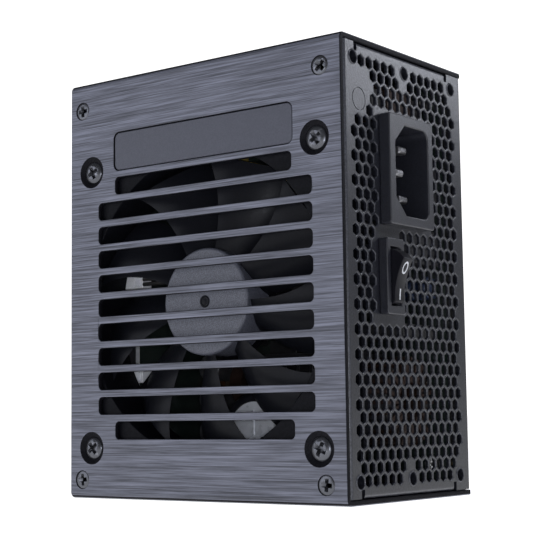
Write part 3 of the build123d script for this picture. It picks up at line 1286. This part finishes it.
def make_socket(columns, y, z):
    """Two-row power socket: one square cell for each contact and a latch ramp on one long side."""
    half_width = SOCKET_WIDTH / 2
    half_length = socket_length(columns) / 2
    body = block(X_SOCKET_FACE, MODULAR_BOARD_X, y - half_width, y + half_width,
                 z - half_length, z + half_length)
    half_cell = SOCKET_CELL / 2
    cells = [block(X_SOCKET_FACE - 1, MODULAR_BOARD_X - SOCKET_FLOOR, cy - half_cell, cy + half_cell,
                   cz - half_cell, cz + half_cell) for cy, cz in socket_cells(columns, y, z)]
    half_pin = SOCKET_PIN_SIZE / 2 + 0.03
    cells += [block(X_SOCKET_FACE, MODULAR_BOARD_X + 1, cy - half_pin, cy + half_pin,
                    cz - half_pin, cz + half_pin) for cy, cz in socket_cells(columns, y, z)]
    ramp = block(X_SOCKET_FACE + 0.3, X_FRONT - 0.3, y + half_width - 0.1, y + half_width + 0.8, z - 2, z + 2)
    ramp = chamfer(edges_at(ramp, Axis.Z, x=X_SOCKET_FACE + 0.3, y=y + half_width + 0.8), 0.7)
    return body - cells + ramp


def make_socket_pins():
    """Square contact pins of all sockets."""
    half_pin = SOCKET_PIN_SIZE / 2
    pins = []
    for _, columns, y, z in socket_places():
        for cy, cz in socket_cells(columns, y, z):
            pin = block(X_SOCKET_FACE + SOCKET_PIN_RECESS, MODULAR_BOARD_X, cy - half_pin, cy + half_pin,
                        cz - half_pin, cz + half_pin)
            pins.append(pin)
    return group(pins)


# ---- Write every node --------------------------------------------------------------------------
def main():
    """Build and write all nodes."""
    os.makedirs("parts", exist_ok=True)
    save("fan_cover", make_fan_cover())
    save("nameplate", make_nameplate())
    save("chassis", make_chassis())
    save("cover_screws", group([make_case_screw(x, z) for x, z in case_screw_places()]))
    save("fan_screws", group([make_fan_screw(x, z) for x, z in fan_screw_places()]))

    save("inlet_housing", make_inlet_housing())
    save("inlet_pins", group([make_inlet_pin(y, z, tip) for y, z, tip in pin_places()]))
    save("switch_body", make_switch_body())
    save("switch_rocker", make_rocker())
    save("switch_terminals", group([make_switch_terminal(z) for z in terminal_levels()]))

    save("fan_frame", make_fan_frame())
    save("fan_rotor", make_fan_rotor())
    save("rotor_magnet_ring", make_magnet_ring())
    save("fan_shaft", make_fan_shaft())
    save("fan_bearing", make_fan_bearing())
    save("stator_core", make_stator())
    save("stator_coils", make_stator_coils())
    save("fan_board", make_fan_board())

    save("mains_leads", make_mains_leads())
    save("earth_lead", make_earth_lead())
    save("fan_lead", make_fan_lead())

    save("main_board", make_main_board())
    save("insulation_sheet", make_insulation_sheet())
    save("board_standoffs", group([make_standoff(x, z) for x, z in standoff_places()]))
    save("board_screws", group([make_board_screw(x, z) for x, z in standoff_places()]))
    save("capacitor_can", make_capacitor_can())
    save("capacitor_sleeve", make_capacitor_sleeve())
    core, winding = make_transformer(
        TRANSFORMER_X, TRANSFORMER_Z, TRANSFORMER_WIDTH, TRANSFORMER_LENGTH, TRANSFORMER_HEIGHT
    )
    save("transformer_core", core)
    save("transformer_winding", winding)
    core, winding = make_transformer(STANDBY_X, STANDBY_Z, STANDBY_SIZE, STANDBY_SIZE, STANDBY_HEIGHT)
    save("standby_core", core)
    save("standby_winding", winding)
    core, winding = make_pfc_choke()
    save("pfc_choke_core", core)
    save("pfc_choke_winding", winding)
    core, winding = make_line_choke()
    save("line_choke_core", core)
    save("line_choke_windings", winding)
    save("x_capacitors", make_x_capacitors())
    save("y_capacitors", make_y_capacitors())
    save("fuse", make_fuse())
    save("relay", make_relay())
    save("bridge_rectifier", make_bridge_rectifier())
    save("primary_heatsink", make_primary_heatsink())
    save("secondary_heatsink", make_secondary_heatsink())
    save("power_transistors", make_power_transistors())
    save("output_capacitors", make_output_capacitors())
    save("output_chokes", make_output_chokes())
    save("control_board", make_control_board())

    save("modular_board", make_modular_board())
    save("link_bars", make_link_bars())
    save("board_headers", make_board_headers())
    save("socket_pins", make_socket_pins())
    for name, columns, y, z in socket_places():
        save(name, make_socket(columns, y, z))


main()
